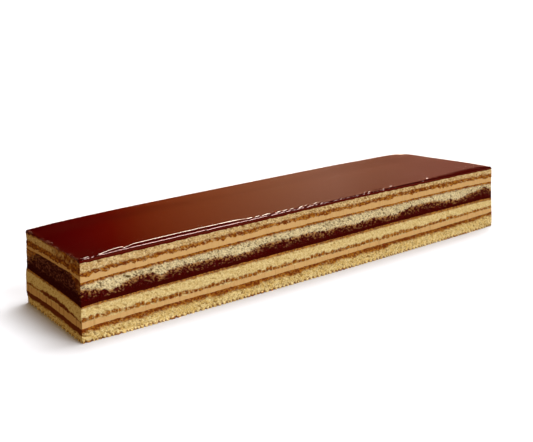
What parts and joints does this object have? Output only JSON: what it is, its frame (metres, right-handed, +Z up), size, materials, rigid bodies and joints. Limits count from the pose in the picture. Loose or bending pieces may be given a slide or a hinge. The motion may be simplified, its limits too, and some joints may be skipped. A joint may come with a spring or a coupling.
{
  "type": "opera cake",
  "caption": "Long rectangular bar of layered cake: almond sponge, coffee buttercream and chocolate ganache under a glossy dark chocolate glaze, with clean-cut sides.",
  "frame": {"origin": "middle of the flat underside that the cake stands on", "axes": "+X along the bar's length, +Y across it towards the back, +Z up through the layers to the glaze"},
  "size_m": [0.2912, 0.084, 0.0423],
  "materials": {
    "almond_sponge": "matte, porous crumb",
    "soaked_sponge": "matte, porous crumb, moist and dark in its lower part",
    "coffee_buttercream": "smooth, soft sheen",
    "chocolate_ganache": "smooth, satin",
    "chocolate_glaze": "mirror gloss"
  },
  "bodies": {
    "root": {"sponge_1": "almond_sponge", "buttercream_1": "coffee_buttercream", "sponge_2": "almond_sponge", "ganache": "chocolate_ganache", "sponge_3": "soaked_sponge", "buttercream_2": "coffee_buttercream", "sponge_4": "almond_sponge", "glaze": "chocolate_glaze"}
  },
  "joints": []
}
